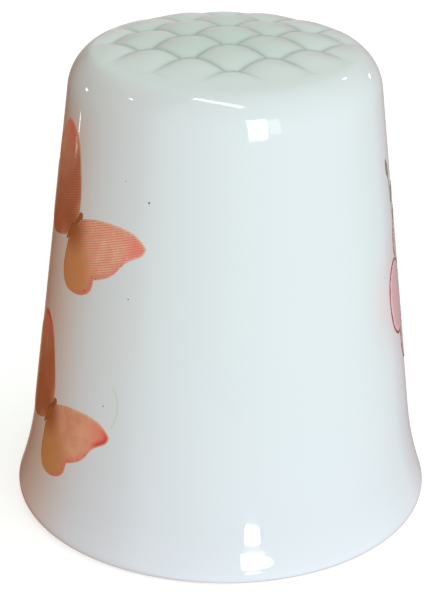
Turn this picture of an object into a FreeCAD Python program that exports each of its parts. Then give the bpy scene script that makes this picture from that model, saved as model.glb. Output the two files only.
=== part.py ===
import FreeCAD, Part

import math
import os

import Sketcher
from FreeCAD import Placement, Rotation, Vector

# China thimble: a glazed bone-china shell with a pillowed crown and fired enamel decoration.
#
# Frame: millimetres, +Z up, origin at the centre of the foot ring. The front faces -Y.
# An azimuth is measured from the front, positive towards +X.

# Driving dimensions: alias, value in mm (angles in degrees), meaning.
SIZES = [
    ("overall_height", 25.4, "foot plane to the apex of the crown's dome"),
    ("foot_radius", 11.05, "widest radius, at the rolled foot"),
    ("foot_roll_radius", 0.6, "rounding of the foot, outside and inside"),
    ("flare_radius", 20.0, "concave sweep from the wall out to the foot"),
    ("wall_cone_radius", 10.65, "straight wall carried down to the foot plane"),
    ("wall_taper", 6.8, "half angle of the wall, outside and inside"),
    ("shoulder_radius", 2.35, "rounding between wall and crown"),
    ("crown_radius", 29.2, "dome of the crown"),
    ("mouth_cone_radius", 9.15, "inner wall carried down to the foot plane"),
    ("finger_depth", 23.0, "foot plane to the top of the finger space"),
    ("finger_crown_radius", 24.0, "dome at the top of the finger space"),
    ("finger_corner_radius", 2.2, "rounding at the top of the finger space"),
    ("glaze_thickness", 0.12, "fired glaze, outside and inside"),
    ("glaze_stop_height", 0.15, "the foot is wiped clean of glaze below this"),
    ("pillow_width", 4.2, "diamond lattice of pillows, corner to corner along X"),
    ("pillow_length", 3.4, "the same lattice, corner to corner along Y"),
    ("pillow_radius", 4.6, "ball that forms each pillow"),
    ("lattice_turn", 1.8, "lattice rows against the X axis"),
    ("lattice_shift_x", 0.21, "a lattice crossing beside the axis"),
    ("lattice_shift_y", -0.95, "the same crossing, towards the front"),
    ("enamel_thickness", 0.04, "fired enamel print, proud of the glaze"),
    ("butterfly_scale", 1.0, "size of the butterfly print against its drawing"),
    ("line_width", 0.24, "printed outline of the blossom"),
    ("stem_width", 0.2, "printed stem of the spray"),
    ("blossom_centre_radius", 0.95, "printed middle of the blossom"),
]

# A form's surface offset: how many times which thickness it lies inside the finished glaze.
ON_GLAZE = (0, "glaze_thickness")
UNDER_GLAZE = (1, "glaze_thickness")
OVER_ENAMEL = (-1, "enamel_thickness")

ENVELOPE_CLEARANCE = 0.1    # the crown envelope stands this far above the pillow crests
VALLEY_CLEARANCE = 0.08     # the core under the pillows stays this far below their valleys
PILLOW_FOOT = 0.3           # and each pillow reaches this far below the same valleys
LATTICE_STEPS = 6           # half pillows counted each way from the lattice crossing
PRISM_START = 2.0           # a print's prism starts this far from the thimble's axis
PRISM_LENGTH = 14.0         # and ends outside the widest part of the foot


# ---------------------------------------------------------------- document and sheet

doc = FreeCAD.newDocument("china_thimble")
sheet = doc.addObject("Spreadsheet::Sheet", "sizes")
for row, (alias, value, meaning) in enumerate(SIZES, start=1):
    sheet.set("A%d" % row, meaning)
    sheet.set("B%d" % row, str(value))
    sheet.setAlias("B%d" % row, alias)
doc.recompute()


def size(alias):
    """The sheet's value for one alias."""
    return float(getattr(sheet, alias))


def offset_value(offset):
    """A surface offset in mm."""
    times, alias = offset
    return times * size(alias)


def offset_text(offset):
    """The same offset as a sheet expression."""
    times, alias = offset
    return "(%d * sizes.%s * 1 mm)" % (times, alias)


def boolean(kind, name, base, tool):
    """A Part::Cut or Part::Common of two objects."""
    result = doc.addObject("Part::" + kind, name)
    result.Base = base
    result.Tool = tool
    return result


# ---------------------------------------------------------------- revolved forms

def new_profile(name):
    """A body with an empty sketch on its XZ plane."""
    body = doc.addObject("PartDesign::Body", name)
    sketch = body.newObject("Sketcher::SketchObject", name + "_profile")
    planes = [f for f in body.Origin.OriginFeatures if f.Role == "XZ_Plane"]
    sketch.AttachmentSupport = [(planes[0], "")]
    sketch.MapMode = "FlatFace"
    return body, sketch


def arc(centre_x, centre_y, radius, start, end):
    """An anticlockwise arc between two angles in radians."""
    circle = Part.Circle(Vector(centre_x, centre_y, 0), Vector(0, 0, 1), radius)
    return Part.ArcOfCircle(circle, start, end)


def bind(sketch, name, constraint, expression):
    """A named dimension of a sketch, driven by the sheet."""
    index = sketch.addConstraint(constraint)
    sketch.renameConstraint(index, name)
    sketch.setExpression("Constraints." + name, expression)


def tangent(sketch, first, first_end, second, second_end):
    """Two profile elements meet end to end and tangent; an end is 1 start, 2 end."""
    sketch.addConstraint(Sketcher.Constraint("Tangent", first, first_end, second, second_end))


def revolve(body, sketch):
    """Turn a closed profile once round the vertical axis."""
    turned = body.newObject("PartDesign::Revolution", body.Name + "_turned")
    turned.Profile = sketch
    turned.ReferenceAxis = (sketch, ["V_Axis"])
    turned.Angle = 360.0
    body.Tip = turned
    doc.recompute()
    return body


def close_on_axis(sketch, axis, dome, base, guide, wall):
    """What every profile shares: it closes on the vertical axis and stands on the foot plane."""
    for constraint in (
        Sketcher.Constraint("Coincident", axis, 1, -1, 1),
        Sketcher.Constraint("Vertical", axis),
        Sketcher.Constraint("Coincident", axis, 2, dome, 2),
        Sketcher.Constraint("PointOnObject", dome, 3, -2),
        Sketcher.Constraint("Coincident", base, 2, axis, 1),
        Sketcher.Constraint("Horizontal", base),
        Sketcher.Constraint("PointOnObject", guide, 1, -1),
        Sketcher.Constraint("PointOnObject", guide, 1, wall),
    ):
        sketch.addConstraint(constraint)


def outer_form(name, offset, crown_lift=0.0):
    """The outside shape, moved inwards by a surface offset; the lift raises its crown alone."""
    inset = offset_value(offset)
    inset_text = offset_text(offset)
    taper = math.radians(size("wall_taper"))
    height = size("overall_height") - inset + crown_lift
    crown = size("crown_radius") - inset
    shoulder = size("shoulder_radius") - inset
    roll = size("foot_roll_radius") - inset
    flare = size("flare_radius") + inset
    cone = size("wall_cone_radius") - inset / math.cos(taper)
    roll_x = size("foot_radius") - size("foot_roll_radius")
    # Starting positions near the solution; the constraints then fix every dimension.
    shoulder_x = cone * math.cos(taper) - shoulder - (height - shoulder) * math.sin(taper)
    shoulder_y = height - shoulder - shoulder_x ** 2 / (2 * crown)
    wall_top = shoulder_y + shoulder * math.sin(taper)
    wall_foot = flare * math.sin(2 * taper)
    wall_end = Vector(cone - wall_foot * math.tan(taper), wall_foot, 0)
    flare_x = wall_end.x + flare * math.cos(taper)
    flare_y = wall_foot + flare * math.sin(taper)
    turn = math.atan2(flare_y - roll, flare_x - roll_x)
    lean = math.atan2(crown - shoulder, shoulder_x)

    body, sketch = new_profile(name)
    sketch.addGeometry([
        Part.LineSegment(Vector(0, 0, 0), Vector(0, height, 0)),
        arc(0, height - crown, crown, lean, math.pi / 2),
        arc(shoulder_x, shoulder_y, shoulder, taper, lean),
        Part.LineSegment(Vector(cone - wall_top * math.tan(taper), wall_top, 0), wall_end),
        arc(flare_x, flare_y, flare, math.pi + taper, math.pi + turn),
        arc(roll_x, roll, roll, -math.pi / 2, turn),
        Part.LineSegment(Vector(roll_x, 0, 0), Vector(0, 0, 0)),
    ], False)
    axis, dome, corner, wall, sweep, foot, base = range(7)
    guide = sketch.addGeometry(Part.Point(Vector(cone, 0, 0)), True)
    close_on_axis(sketch, axis, dome, base, guide, wall)
    tangent(sketch, dome, 1, corner, 2)
    tangent(sketch, corner, 1, wall, 1)
    tangent(sketch, wall, 2, sweep, 1)
    tangent(sketch, sweep, 2, foot, 2)
    tangent(sketch, foot, 1, base, 1)
    bind(sketch, "height", Sketcher.Constraint("DistanceY", axis, 1, axis, 2, height),
         "sizes.overall_height * 1 mm - %s + %r mm" % (inset_text, crown_lift))
    bind(sketch, "dome_radius", Sketcher.Constraint("Radius", dome, crown),
         "sizes.crown_radius * 1 mm - " + inset_text)
    bind(sketch, "corner_radius", Sketcher.Constraint("Radius", corner, shoulder),
         "sizes.shoulder_radius * 1 mm - " + inset_text)
    bind(sketch, "sweep_radius", Sketcher.Constraint("Radius", sweep, flare),
         "sizes.flare_radius * 1 mm + " + inset_text)
    bind(sketch, "roll_radius", Sketcher.Constraint("Radius", foot, roll),
         "sizes.foot_roll_radius * 1 mm - " + inset_text)
    bind(sketch, "roll_place", Sketcher.Constraint("DistanceX", -1, 1, foot, 3, roll_x),
         "(sizes.foot_radius - sizes.foot_roll_radius) * 1 mm")
    bind(sketch, "cone_radius", Sketcher.Constraint("DistanceX", -1, 1, guide, 1, cone),
         "sizes.wall_cone_radius * 1 mm - %s / cos(sizes.wall_taper * 1 deg)" % inset_text)
    bind(sketch, "wall_angle", Sketcher.Constraint("Angle", wall, taper - math.pi / 2),
         "(sizes.wall_taper - 90) * 1 deg")
    doc.recompute()
    return revolve(body, sketch)


def inner_form(name, offset):
    """The finger space, grown outwards into the wall by a surface offset."""
    growth = offset_value(offset)
    growth_text = offset_text(offset)
    taper = math.radians(size("wall_taper"))
    height = size("finger_depth") + growth
    crown = size("finger_crown_radius") + growth
    corner_radius = size("finger_corner_radius") + growth
    roll = size("foot_roll_radius") - growth
    cone = size("mouth_cone_radius") + growth / math.cos(taper)
    # Starting positions near the solution; the constraints then fix every dimension.
    corner_x = cone * math.cos(taper) - corner_radius - (height - corner_radius) * math.sin(taper)
    corner_y = height - corner_radius - corner_x ** 2 / (2 * crown)
    wall_top = corner_y + corner_radius * math.sin(taper)
    lean = math.atan2(crown - corner_radius, corner_x)
    roll_x = cone + roll
    wall_end = Vector(cone - roll * math.tan(taper), roll, 0)

    body, sketch = new_profile(name)
    sketch.addGeometry([
        Part.LineSegment(Vector(0, 0, 0), Vector(0, height, 0)),
        arc(0, height - crown, crown, lean, math.pi / 2),
        arc(corner_x, corner_y, corner_radius, taper, lean),
        Part.LineSegment(Vector(cone - wall_top * math.tan(taper), wall_top, 0), wall_end),
        arc(roll_x, roll, roll, math.pi + taper, 1.5 * math.pi),
        Part.LineSegment(Vector(roll_x, 0, 0), Vector(0, 0, 0)),
    ], False)
    axis, dome, corner, wall, lip, base = range(6)
    guide = sketch.addGeometry(Part.Point(Vector(cone, 0, 0)), True)
    close_on_axis(sketch, axis, dome, base, guide, wall)
    tangent(sketch, dome, 1, corner, 2)
    tangent(sketch, corner, 1, wall, 1)
    tangent(sketch, wall, 2, lip, 1)
    tangent(sketch, lip, 2, base, 1)
    bind(sketch, "height", Sketcher.Constraint("DistanceY", axis, 1, axis, 2, height),
         "sizes.finger_depth * 1 mm + " + growth_text)
    bind(sketch, "dome_radius", Sketcher.Constraint("Radius", dome, crown),
         "sizes.finger_crown_radius * 1 mm + " + growth_text)
    bind(sketch, "corner_radius", Sketcher.Constraint("Radius", corner, corner_radius),
         "sizes.finger_corner_radius * 1 mm + " + growth_text)
    bind(sketch, "roll_radius", Sketcher.Constraint("Radius", lip, roll),
         "sizes.foot_roll_radius * 1 mm - " + growth_text)
    bind(sketch, "cone_radius", Sketcher.Constraint("DistanceX", -1, 1, guide, 1, cone),
         "sizes.mouth_cone_radius * 1 mm + %s / cos(sizes.wall_taper * 1 deg)" % growth_text)
    bind(sketch, "wall_angle", Sketcher.Constraint("Angle", wall, taper - math.pi / 2),
         "(sizes.wall_taper - 90) * 1 deg")
    doc.recompute()
    return revolve(body, sketch)


# ---------------------------------------------------------------- pillowed crown

def pillow_balls(name, offset):
    """Caps of balls whose crests follow the crown's dome on a diamond lattice."""
    dome = size("crown_radius")
    ball = size("pillow_radius")
    width = size("pillow_width")
    length = size("pillow_length")
    centre_z = size("overall_height") - dome
    turn = Rotation(Vector(0, 0, 1), size("lattice_turn"))
    crossing = Vector(size("lattice_shift_x"), size("lattice_shift_y"), 0)
    corner = (width ** 2 + length ** 2) / (4 * width)
    valley = ball - math.sqrt(ball ** 2 - corner ** 2)
    cap_angle = math.degrees(math.asin((ball - valley - PILLOW_FOOT) / ball))
    reach = size("wall_cone_radius") - size("shoulder_radius") + width / 2
    caps = []
    for column in range(-LATTICE_STEPS, LATTICE_STEPS + 1):
        for line in range(-LATTICE_STEPS, LATTICE_STEPS + 1):
            if (column + line) % 2 == 0:
                continue
            spot = crossing + turn.multVec(Vector(column * width / 2, line * length / 2, 0))
            if spot.Length > reach:
                continue
            crest = Vector(spot.x, spot.y, math.sqrt(dome ** 2 - spot.Length ** 2))
            outward = Vector(crest).normalize()
            cap = doc.addObject("Part::Sphere", "%s_pillow_%d" % (name, len(caps) + 1))
            cap.setExpression("Radius", "sizes.pillow_radius * 1 mm - " + offset_text(offset))
            cap.Angle1 = cap_angle
            cap.Placement = Placement(Vector(0, 0, centre_z) + outward * (dome - ball),
                                      Rotation(Vector(0, 0, 1), outward))
            caps.append(cap)
    core = doc.addObject("Part::Sphere", name + "_core")
    core.setExpression("Radius", "sizes.crown_radius * 1 mm - %s - %r mm" % (
        offset_text(offset), valley + VALLEY_CLEARANCE))
    core.Placement = Placement(Vector(0, 0, centre_z), Rotation(Vector(1, 0, 0), 90))
    fused = doc.addObject("Part::MultiFuse", name + "_pillows")
    fused.Shapes = [core] + caps
    return fused


def pillowed_form(name, offset):
    """The outside shape with its crown raised into pillows, moved inwards by a surface offset."""
    envelope = outer_form(name + "_envelope", offset, ENVELOPE_CLEARANCE)
    return boolean("Common", name, envelope, pillow_balls(name, offset))


# ---------------------------------------------------------------- ceramic shell and glaze

finished_form = pillowed_form("finished_form", ON_GLAZE)
biscuit_form = pillowed_form("biscuit_form", UNDER_GLAZE)
finger_space = inner_form("finger_space", ON_GLAZE)
biscuit_bore = inner_form("biscuit_bore", UNDER_GLAZE)

wiped_foot = doc.addObject("Part::Cylinder", "wiped_foot")
wiped_foot.setExpression("Radius", "sizes.foot_radius * 2 mm")
wiped_foot.setExpression("Height", "sizes.glaze_stop_height * 1 mm + 1 mm")
wiped_foot.Placement = Placement(Vector(0, 0, -1), Rotation())

china_body = boolean("Cut", "china_body", biscuit_form, biscuit_bore)
outer_coat = boolean("Cut", "outer_coat", finished_form, biscuit_form)
outer_glaze = boolean("Cut", "outer_glaze", outer_coat, wiped_foot)
inner_coat = boolean("Cut", "inner_coat", biscuit_bore, finger_space)
inner_glaze = boolean("Cut", "inner_glaze", inner_coat, wiped_foot)


# ---------------------------------------------------------------- enamel prints on the wall

enamel_envelope = outer_form("enamel_envelope", OVER_ENAMEL)


def wall_radius(height):
    """Radius of the straight wall at a height."""
    return size("wall_cone_radius") - height * math.tan(math.radians(size("wall_taper")))


def curve(points):
    """A smooth edge through points (x, y) of a drawing."""
    spline = Part.BSplineCurve()
    spline.interpolate([Vector(x, y, 0) for x, y in points])
    return spline.toShape()


def closed_face(edges):
    """The flat face inside a ring of edges, closed with a straight edge where they end apart."""
    start = edges[0].valueAt(edges[0].FirstParameter)
    end = edges[-1].valueAt(edges[-1].LastParameter)
    if start.distanceToPoint(end) > 1e-6:
        edges = edges + [Part.makeLine(end, start)]
    return Part.Face(Part.Wire(edges))


def laid_out(points, height, angle=0.0, offset=(0.0, 0.0)):
    """Points of a drawing turned and moved, then seen straight on where they lie on the round wall."""
    radius = wall_radius(height)
    turn = Rotation(Vector(0, 0, 1), angle)
    found = []
    for x, y in points:
        moved = turn.multVec(Vector(x, y, 0)) + Vector(offset[0], offset[1], 0)
        found.append((radius * math.sin(moved.x / radius), moved.y))
    return found


def joined(faces):
    """One drawing made of several that may overlap."""
    return faces[0].multiFuse(faces[1:]).removeSplitter()


def printed(name, drawing, azimuth, height):
    """A film of enamel: a drawing laid on the wall around an azimuth and a height."""
    prism = doc.addObject("Part::Feature", name + "_prism")
    prism.Shape = drawing.extrude(Vector(0, 0, PRISM_LENGTH))
    upright = Placement(Vector(0, -PRISM_START, height), Rotation(Vector(1, 0, 0), 90))
    facing = Placement(Vector(0, 0, 0), Rotation(Vector(0, 0, 1), azimuth))
    prism.Placement = facing * upright * prism.Shape.Placement
    film = boolean("Common", name + "_film", enamel_envelope, prism)
    laid = boolean("Cut", name + "_laid", film, finished_form.Base)
    laid.Label = name
    return laid


# Butterfly, drawn with its head towards +Y. Each wing has a leading edge, an outer margin and the
# lobe behind it; the left wing, towards -X, is the broader one.
RIGHT_WING = [
    [(0.12, 1.0), (0.7, 1.85), (1.4, 2.58), (2.3, 3.25), (3.1, 3.55), (3.85, 3.5)],
    [(3.85, 3.5), (3.95, 3.1), (3.75, 2.5), (3.6, 1.9), (3.6, 1.3), (3.4, 0.5), (3.0, -0.25)],
    [(3.0, -0.25), (3.25, -0.8), (3.1, -1.45), (2.5, -2.2), (1.6, -2.6), (0.85, -2.2),
     (0.4, -1.45), (0.12, -0.9)],
]
LEFT_WING = [
    [(-0.12, 1.0), (-0.75, 1.8), (-1.5, 2.5), (-2.4, 3.17), (-3.2, 3.5), (-3.95, 3.45)],
    [(-3.95, 3.45), (-4.35, 3.2), (-4.65, 2.6), (-4.7, 1.9), (-4.85, 1.2), (-4.8, 0.3), (-4.35, -0.5)],
    [(-4.35, -0.5), (-4.5, -1.2), (-4.15, -2.1), (-3.4, -2.8), (-2.35, -3.05), (-1.35, -2.6),
     (-0.65, -1.75), (-0.12, -0.9)],
]
HALF_BODY = [(0.0, 1.3), (0.2, 1.12), (0.17, 0.85), (0.3, 0.4), (0.26, -0.2), (0.13, -0.8),
             (0.0, -1.05)]


def butterfly(name, azimuth, height, heading):
    """Wings and body of one butterfly print; its head points along the heading."""
    scale = size("butterfly_scale")

    def outline(points):
        """A smooth edge of the drawing as it lies on the wall."""
        sized = [(scale * x, scale * y) for x, y in points]
        return curve(laid_out(sized, height, heading - 90))

    left_half = [(-x, y) for x, y in reversed(HALF_BODY[1:-1])]
    body = closed_face([outline(HALF_BODY + left_half + HALF_BODY[:1])])
    wings = [closed_face([outline(points) for points in wing]) for wing in (RIGHT_WING, LEFT_WING)]
    return [
        printed(name + "_wings", Part.Compound(wings).cut(body), azimuth, height),
        printed(name + "_body", body, azimuth, height),
    ]


butterflies = (butterfly("upper_butterfly", azimuth=-59.5, height=16.7, heading=51)
               + butterfly("lower_butterfly", azimuth=-64.5, height=6.3, heading=54))

# Blossom and spray, drawn around the blossom's centre.
SPRAY_AZIMUTH = 97.0
SPRAY_HEIGHT = 12.1
PETALS = 5
FIRST_PETAL = 180.0
HALF_PETAL = [(0.75, -0.3), (2.0, -1.45), (3.3, -2.0), (4.2, -1.35), (4.5, 0.0)]


def petal(angle, growth):
    """One petal pointing along an angle, larger all round by a growth."""
    below = []
    for index, (x, y) in enumerate(HALF_PETAL):
        reach = growth * index / (len(HALF_PETAL) - 1)
        side = 0.0 if y == 0 else -growth
        below.append((x + reach, y + side))
    above = [(x, -y) for x, y in reversed(below[:-1])]
    return closed_face([curve(laid_out(below + above, SPRAY_HEIGHT, angle))])


def ribbon(points, width):
    """A line of even width along points of a drawing."""
    spine = curve(laid_out(points, SPRAY_HEIGHT))
    first, last = spine.FirstParameter, spine.LastParameter
    sides = {1: [], -1: []}
    steps = 2 * len(points)
    for step in range(steps + 1):
        at = first + (last - first) * step / steps
        here = spine.valueAt(at)
        along = spine.tangentAt(at)
        for side, found in sides.items():
            found.append((here.x - along.y * side * width / 2, here.y + along.x * side * width / 2))
    end = Part.makeLine(Vector(*sides[1][-1]), Vector(*sides[-1][-1]))
    return closed_face([curve(sides[1]), end, curve(sides[-1][::-1])])


def leaf(x, y, angle, length, width):
    """A pointed leaf growing from a point along an angle."""
    corners = [(0, 0), (0.45 * length, width / 2), (length, 0), (0.45 * length, -width / 2)]
    root, above, tip, below = [
        Vector(*point) for point in laid_out(corners, SPRAY_HEIGHT, angle, (x, y))]
    return closed_face([Part.Arc(root, above, tip).toShape(), Part.Arc(tip, below, root).toShape()])


petal_angles = [FIRST_PETAL + 360 / PETALS * index for index in range(PETALS)]
outer_petals = joined([petal(angle, size("line_width")) for angle in petal_angles])
inner_petals = joined([petal(angle, 0.0) for angle in petal_angles])

STEMS = [
    [(-1.0, 3.2), (-2.0, 3.7), (-2.5, 4.6), (-2.6, 5.6), (-2.9, 6.6)],
    [(1.2, 3.4), (2.2, 5.0), (2.7, 6.6), (2.5, 8.2)],
    [(1.4, -3.2), (2.5, -4.8), (2.8, -6.4), (2.3, -8.0)],
]
# Each leaf: where it grows from, its direction in degrees, its length and its width.
LEAVES = [
    (-2.85, 6.4, 105, 1.3, 0.55),
    (-2.55, 4.9, 40, 1.5, 0.6),
    (2.3, 5.2, 20, 2.0, 0.85),
    (2.65, 6.4, 150, 1.8, 0.75),
    (2.5, 8.1, 95, 1.5, 0.7),
    (2.55, -4.9, -20, 2.1, 0.85),
    (2.8, -6.3, 215, 2.0, 0.8),
    (2.3, -7.9, 260, 1.5, 0.7),
]
leaf_drawing = joined([leaf(*numbers) for numbers in LEAVES])
stem_drawing = joined([ribbon(points, size("stem_width")) for points in STEMS])
centre = Part.Face(Part.Wire(Part.makeCircle(size("blossom_centre_radius"))))

spray_place = {"azimuth": SPRAY_AZIMUTH, "height": SPRAY_HEIGHT}
blossom = [
    printed("blossom_centre", centre, **spray_place),
    printed("blossom_petals", inner_petals.cut(centre), **spray_place),
    printed("blossom_outline", outer_petals.cut(inner_petals).cut(centre), **spray_place),
    printed("spray_leaves", leaf_drawing.cut(outer_petals), **spray_place),
    printed("spray_stems", stem_drawing.cut(outer_petals).cut(leaf_drawing), **spray_place),
]


# ---------------------------------------------------------------- check and write

doc.recompute()
nodes = [china_body, outer_glaze, inner_glaze] + butterflies + blossom
for item in doc.Objects:
    if "Invalid" in item.State or "Error" in item.State:
        raise RuntimeError("%s did not build: %s" % (item.Name, item.State))
for node in nodes:
    if node.Shape.isNull() or not node.Shape.isValid() or not node.Shape.Solids:
        raise RuntimeError("%s has no valid solid" % node.Label)

os.makedirs("parts", exist_ok=True)
for node in nodes:
    node.Shape.exportStep("parts/%s.step" % node.Label)
    print("%-24s solids %2d  faces %3d  volume %9.3f mm3" % (
        node.Label, len(node.Shape.Solids), len(node.Shape.Faces), node.Shape.Volume))
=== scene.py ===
import math

import bmesh
import bpy
import numpy as np
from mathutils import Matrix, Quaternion, Vector


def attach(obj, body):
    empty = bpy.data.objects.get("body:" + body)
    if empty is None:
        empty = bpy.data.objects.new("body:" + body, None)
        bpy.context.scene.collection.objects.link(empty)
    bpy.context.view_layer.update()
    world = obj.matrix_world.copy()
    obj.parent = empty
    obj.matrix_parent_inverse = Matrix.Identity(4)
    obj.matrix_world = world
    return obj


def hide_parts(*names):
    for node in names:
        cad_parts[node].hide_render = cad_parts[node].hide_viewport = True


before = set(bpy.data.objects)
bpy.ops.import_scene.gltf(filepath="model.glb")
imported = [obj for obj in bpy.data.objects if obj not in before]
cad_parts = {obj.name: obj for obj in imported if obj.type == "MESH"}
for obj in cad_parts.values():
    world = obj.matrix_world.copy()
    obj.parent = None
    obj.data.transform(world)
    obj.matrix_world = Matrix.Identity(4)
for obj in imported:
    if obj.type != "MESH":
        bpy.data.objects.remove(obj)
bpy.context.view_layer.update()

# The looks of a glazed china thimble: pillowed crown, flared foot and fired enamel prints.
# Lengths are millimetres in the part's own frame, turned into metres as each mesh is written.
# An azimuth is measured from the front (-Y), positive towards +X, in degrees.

MM = 0.001
BODY = "root"

# ---------------------------------------------------------------- sizes of the ware

# Outside, from the foot up.
HEIGHT = 25.4
FOOT_RADIUS = 11.05
ROLL_RADIUS = 0.6
FLARE_RADIUS = 20.0
CONE_RADIUS = 10.65
TAPER = math.radians(6.8)
SHOULDER_RADIUS = 2.35
CROWN_RADIUS = 29.2
CROWN_LIFT = 0.1

# Finger space.
MOUTH_RADIUS = 9.15
FINGER_DEPTH = 23.0
FINGER_CROWN_RADIUS = 24.0
FINGER_CORNER_RADIUS = 2.2

# Pillows of the crown: balls on a diamond lattice.
PILLOW_WIDTH = 4.2
PILLOW_LENGTH = 3.4
BALL_RADIUS = 4.6
LATTICE_TURN = math.radians(1.8)
CROSSING = (0.21, -0.95)

# Coats.
GLAZE = 0.12
GLAZE_STOP = 0.15
GLAZE_SHARE = 0.9
ENAMEL = 0.04

# Longest step along a profile, and the share of it that each stretch takes.
WALL_LINE_STEP = 0.2
ENVELOPE_STEP = 0.05
OUTER_STEP = 0.33
INNER_STEP = 0.4
CROWN_SHARE = 0.3
CORNER_SHARE = 0.4
FLARE_SHARE = 1.2
FOOT_SHARE = 0.25
WALL_SHARE = 2.0


# ---------------------------------------------------------------- profiles

def tangent_centre(cone, offset, centre, distance):
    """Centre of a circle at an offset from the cone's line and at a distance from another centre."""
    normal = np.array([math.cos(TAPER), math.sin(TAPER)])
    along = np.array([-math.sin(TAPER), math.cos(TAPER)])
    start = normal * (cone * math.cos(TAPER) + offset)
    gap = start - np.array(centre)
    half = gap @ along
    return start + along * (-half + math.sqrt(half ** 2 - gap @ gap + distance ** 2))


def arc_points(centre, radius, first, last, step):
    """Points along an arc between two angles, no further apart than a step."""
    count = max(2, math.ceil(abs(last - first) * radius / step))
    return [(centre[0] + radius * math.cos(angle), centre[1] + radius * math.sin(angle))
            for angle in np.linspace(first, last, count + 1)]


def line_points(start, end, step):
    """Points along a straight run, no further apart than a step."""
    count = max(1, math.ceil(math.dist(start, end) / step))
    return [tuple(point) for point in np.linspace(start, end, count + 1)]


def outer_profile(lift, start_radius, step):
    """(radius, height) points down the outside, from a radius on the crown to the glaze's edge."""
    dome = (0.0, HEIGHT + lift - CROWN_RADIUS)
    shoulder = tangent_centre(CONE_RADIUS, -SHOULDER_RADIUS, dome, CROWN_RADIUS - SHOULDER_RADIUS)
    roll = (FOOT_RADIUS - ROLL_RADIUS, ROLL_RADIUS)
    flare = tangent_centre(CONE_RADIUS, FLARE_RADIUS, roll, FLARE_RADIUS + ROLL_RADIUS)
    lean = math.atan2(shoulder[1] - dome[1], shoulder[0] - dome[0])
    turn = math.atan2(flare[1] - roll[1], flare[0] - roll[0])
    stop = -math.asin((ROLL_RADIUS - GLAZE_STOP) / ROLL_RADIUS)
    crown = arc_points(dome, CROWN_RADIUS, math.acos(start_radius / CROWN_RADIUS), lean,
                       step * CROWN_SHARE)
    corner = arc_points(shoulder, SHOULDER_RADIUS, lean, TAPER, step * CORNER_SHARE)
    sweep = arc_points(flare, FLARE_RADIUS, math.pi + TAPER, math.pi + turn, step * FLARE_SHARE)
    foot = arc_points(roll, ROLL_RADIUS, turn, stop, step * FOOT_SHARE)
    wall = line_points(corner[-1], sweep[0], step * WALL_SHARE)
    return crown + corner[1:] + wall[1:] + sweep[1:] + foot[1:]


def inner_profile(step):
    """(radius, height) points down the inside, from the axis to the glaze's edge."""
    dome = (0.0, FINGER_DEPTH - FINGER_CROWN_RADIUS)
    corner = tangent_centre(MOUTH_RADIUS, -FINGER_CORNER_RADIUS, dome,
                            FINGER_CROWN_RADIUS - FINGER_CORNER_RADIUS)
    lean = math.atan2(corner[1] - dome[1], corner[0] - dome[0])
    rolled = ROLL_RADIUS - ROLL_RADIUS * math.sin(TAPER)
    lip = ((MOUTH_RADIUS * math.cos(TAPER) + rolled) / math.cos(TAPER), ROLL_RADIUS)
    stop = math.pi + math.asin((ROLL_RADIUS - GLAZE_STOP) / ROLL_RADIUS)
    crown = arc_points(dome, FINGER_CROWN_RADIUS, math.pi / 2, lean, step)
    bend = arc_points(corner, FINGER_CORNER_RADIUS, lean, TAPER, step * CORNER_SHARE)
    edge = arc_points(lip, ROLL_RADIUS, math.pi + TAPER, stop, step * FOOT_SHARE)
    wall = line_points(bend[-1], edge[0], step * WALL_SHARE)
    return crown + bend[1:] + wall[1:] + edge[1:]


WALL_LINE = np.array(outer_profile(0.0, 0.0, WALL_LINE_STEP))
WALL_HEIGHTS = WALL_LINE[::-1, 1]
WALL_RADII = WALL_LINE[::-1, 0]
ENVELOPE = np.array(outer_profile(CROWN_LIFT, 0.0, ENVELOPE_STEP))


def wall_radius(height):
    """Radius of the finished outside at a height."""
    return float(np.interp(height, WALL_HEIGHTS, WALL_RADII))


# ---------------------------------------------------------------- mesh helpers

def new_object(name, bm):
    """A smooth-shaded object from a bmesh held in mm."""
    mesh = bpy.data.meshes.new(name)
    bmesh.ops.recalc_face_normals(bm, faces=bm.faces)
    bmesh.ops.scale(bm, vec=(MM, MM, MM), verts=bm.verts)
    for face in bm.faces:
        face.smooth = True
    bm.to_mesh(mesh)
    bm.free()
    obj = bpy.data.objects.new(name, mesh)
    bpy.context.scene.collection.objects.link(obj)
    return obj


def thicken(obj, thickness):
    """Gives a surface its thickness in mm, inwards from its faces, and applies it."""
    modifier = obj.modifiers.new("thickness", "SOLIDIFY")
    modifier.thickness = thickness * MM
    modifier.offset = -1.0
    bpy.context.view_layer.update()
    depsgraph = bpy.context.evaluated_depsgraph_get()
    mesh = bpy.data.meshes.new_from_object(obj.evaluated_get(depsgraph))
    obj.modifiers.clear()
    old = obj.data
    obj.data = mesh
    bpy.data.meshes.remove(old)
    obj.data.name = obj.name


def add_rings(bm, profile, around):
    """Rings of vertices down a profile, joined by quads."""
    ring = None
    for radius, height in profile:
        new_ring = []
        for index in range(around):
            angle = 2 * math.pi * index / around
            new_ring.append(bm.verts.new((radius * math.cos(angle), radius * math.sin(angle), height)))
        if ring is not None:
            for index in range(around):
                after = (index + 1) % around
                bm.faces.new((ring[index], new_ring[index], new_ring[after], ring[after]))
        ring = new_ring


# ---------------------------------------------------------------- crown lattice

ACROSS = np.array([math.cos(LATTICE_TURN), math.sin(LATTICE_TURN)])
AHEAD = np.array([-math.sin(LATTICE_TURN), math.cos(LATTICE_TURN)])

# Softness of the valleys and of the step down to the shoulder, and the reach of the valleys' tint,
# which is partly pooled glaze and partly painted shade.
VALLEY_SOFTNESS = 0.018
SHOULDER_SOFTNESS = 0.06
VALLEY_WIDTH = 0.05
# The least square of a ball's height over a point, used beyond the ball's edge.
BALL_EDGE = 0.01

# The lattice covers this radius, and its relief fades between two distances from its middle.
LATTICE_RADIUS = 7.7
LATTICE_MIDDLE = 1.0
LATTICE_FADE = (5.0, 7.2)


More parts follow.
